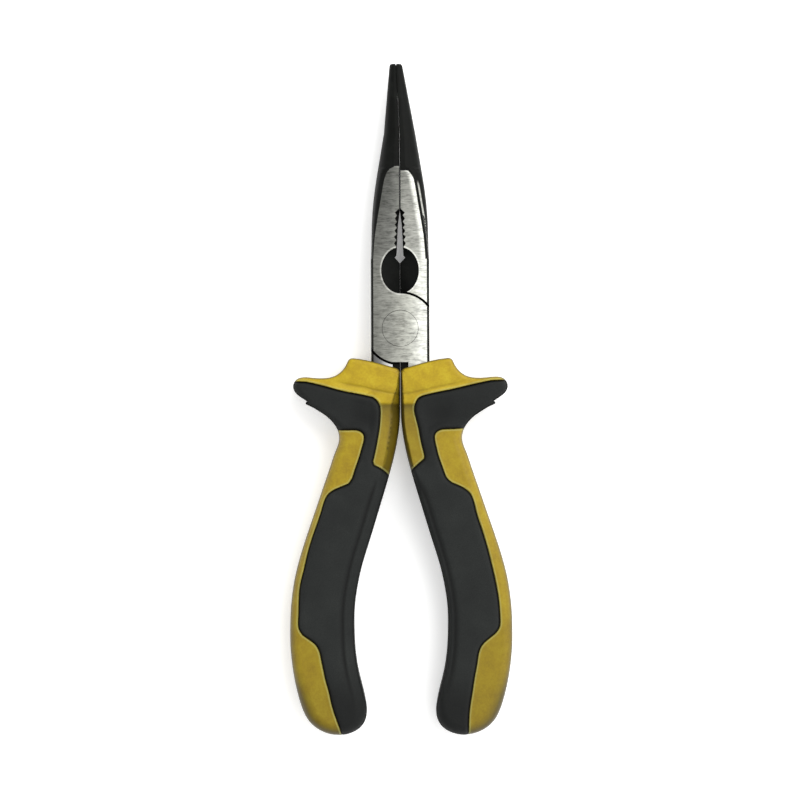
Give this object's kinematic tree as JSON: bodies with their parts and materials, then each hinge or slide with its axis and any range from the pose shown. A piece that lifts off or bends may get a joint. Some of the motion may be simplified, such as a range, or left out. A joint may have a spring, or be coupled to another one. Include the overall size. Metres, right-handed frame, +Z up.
{
  "type": "long nose pliers",
  "caption": "Long nose pliers with tapered half-round jaws, pipe grip, side cutter, riveted lap joint and two-component grips with finger guards.",
  "frame": {"origin": "centre of the whole tool's box in X and Y, on the surface it lies on; the pivot axis stands at y = 0.021", "axes": "+Y from the handles to the nose tip, +X to the right of the tool seen from above, +Z up along the pivot axis"},
  "size_m": [0.0662, 0.2, 0.014],
  "materials": {
    "forged_steel": "forged steel, black oxide on the nose and sides, cross-ground bright faces",
    "rivet_steel": "ground flush with the faces",
    "grip_hard": "moulded mustard yellow, low sheen",
    "grip_soft": "fine-textured soft black elastomer"
  },
  "bodies": {
    "front_half": {"jaw_half_front": "forged_steel", "pivot_rivet": "rivet_steel", "grip_core_right": "grip_hard", "grip_overmould_right": "grip_soft"},
    "rear_half": {"jaw_half_rear": "forged_steel", "grip_core_left": "grip_hard", "grip_overmould_left": "grip_soft"}
  },
  "joints": [
    {"name": "jaw_pivot", "type": "hinge", "parent": "front_half", "child": "rear_half", "pos_m": [0, 0.021, 0.007], "axis": [0, 0, -1], "range_deg": [0, 60]}
  ]
}
